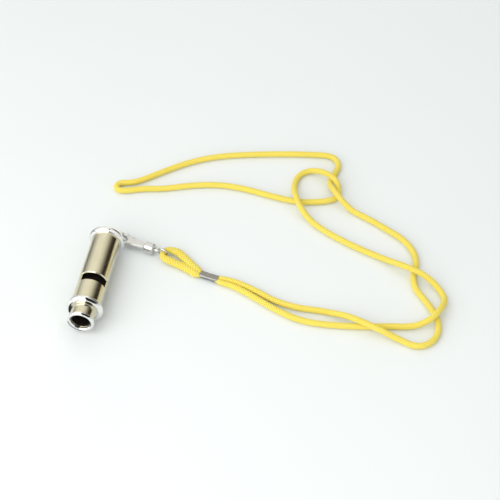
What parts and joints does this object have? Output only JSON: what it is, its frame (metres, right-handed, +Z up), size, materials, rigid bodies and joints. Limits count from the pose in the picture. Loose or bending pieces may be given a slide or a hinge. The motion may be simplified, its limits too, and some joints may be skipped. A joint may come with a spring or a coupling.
{
  "type": "training whistle",
  "caption": "Metal tube whistle with twin sound chambers, on a yellow neck cord with a trigger snap and swivel.",
  "frame": {"origin": "on the table, under the middle of the whistle with its bail ring, measured without the lanyard and its snap", "axes": "+Z up from the table, +Y along the whistle's axis from the mouth to the end cap, +X towards the lanyard"},
  "size_m": [0.2346, 0.1845, 0.0235],
  "materials": {
    "satin_nickel": "satin nickel plate on brass",
    "chrome_plate": "bright polished plate",
    "block_brass": "blackened brass",
    "inner_brass": "blackened brass sheet",
    "ring_steel": "polished nickel plated steel wire",
    "clip_chrome": "bright plated die casting",
    "pin_steel": "plain drawn steel",
    "crimp_metal": "nickel plated, lightly brushed",
    "cord_yellow": "knitted yellow polyester cord"
  },
  "bodies": {
    "whistle": {"barrel": "satin_nickel", "mouth_tube": "satin_nickel", "lip_ring": "chrome_plate", "mouth_collar": "chrome_plate", "windway_block_top": "block_brass", "windway_block_bottom": "block_brass", "chamber_partition": "inner_brass", "chamber_stop_top": "inner_brass", "chamber_stop_bottom": "inner_brass", "end_cap": "satin_nickel", "cap_collar": "chrome_plate", "loop_stud": "ring_steel"},
    "bail": {"bail_ring": "ring_steel"},
    "clip": {"clip_body": "clip_chrome", "lever_pin": "pin_steel", "lever_spring": "pin_steel"},
    "gate": {"gate_lever": "clip_chrome"},
    "lanyard": {"swivel_eye": "clip_chrome", "eye_loop_cord": "cord_yellow", "crimp": "crimp_metal", "crimped_cord": "cord_yellow", "neck_cord": "cord_yellow"}
  },
  "joints": [
    {"name": "bail_swing", "type": "hinge", "parent": "whistle", "child": "bail", "pos_m": [0, 0.0346, 0.01175], "axis": [1, 0, 0], "range_deg": [-5, 90]},
    {"name": "clip_swing", "type": "hinge", "parent": "bail", "child": "clip", "pos_m": [0.00186, 0.03989, 0.004], "axis": [-0.2588, -0.9659, 0], "range_deg": [-10, 22]},
    {"name": "gate_press", "type": "hinge", "parent": "clip", "child": "gate", "pos_m": [0.01499, 0.03865, 0.004], "axis": [0, 0, 1], "range_deg": [0, 20], "stiffness_Nm_per_rad": 0.02, "springref_deg": -20.05, "deforming": ["lever_spring"]},
    {"name": "swivel_turn", "type": "hinge", "parent": "clip", "child": "lanyard", "pos_m": [0.02968, 0.03244, 0.004], "axis": [0.9659, -0.2588, 0], "range_deg": [-60, 60]}
  ]
}
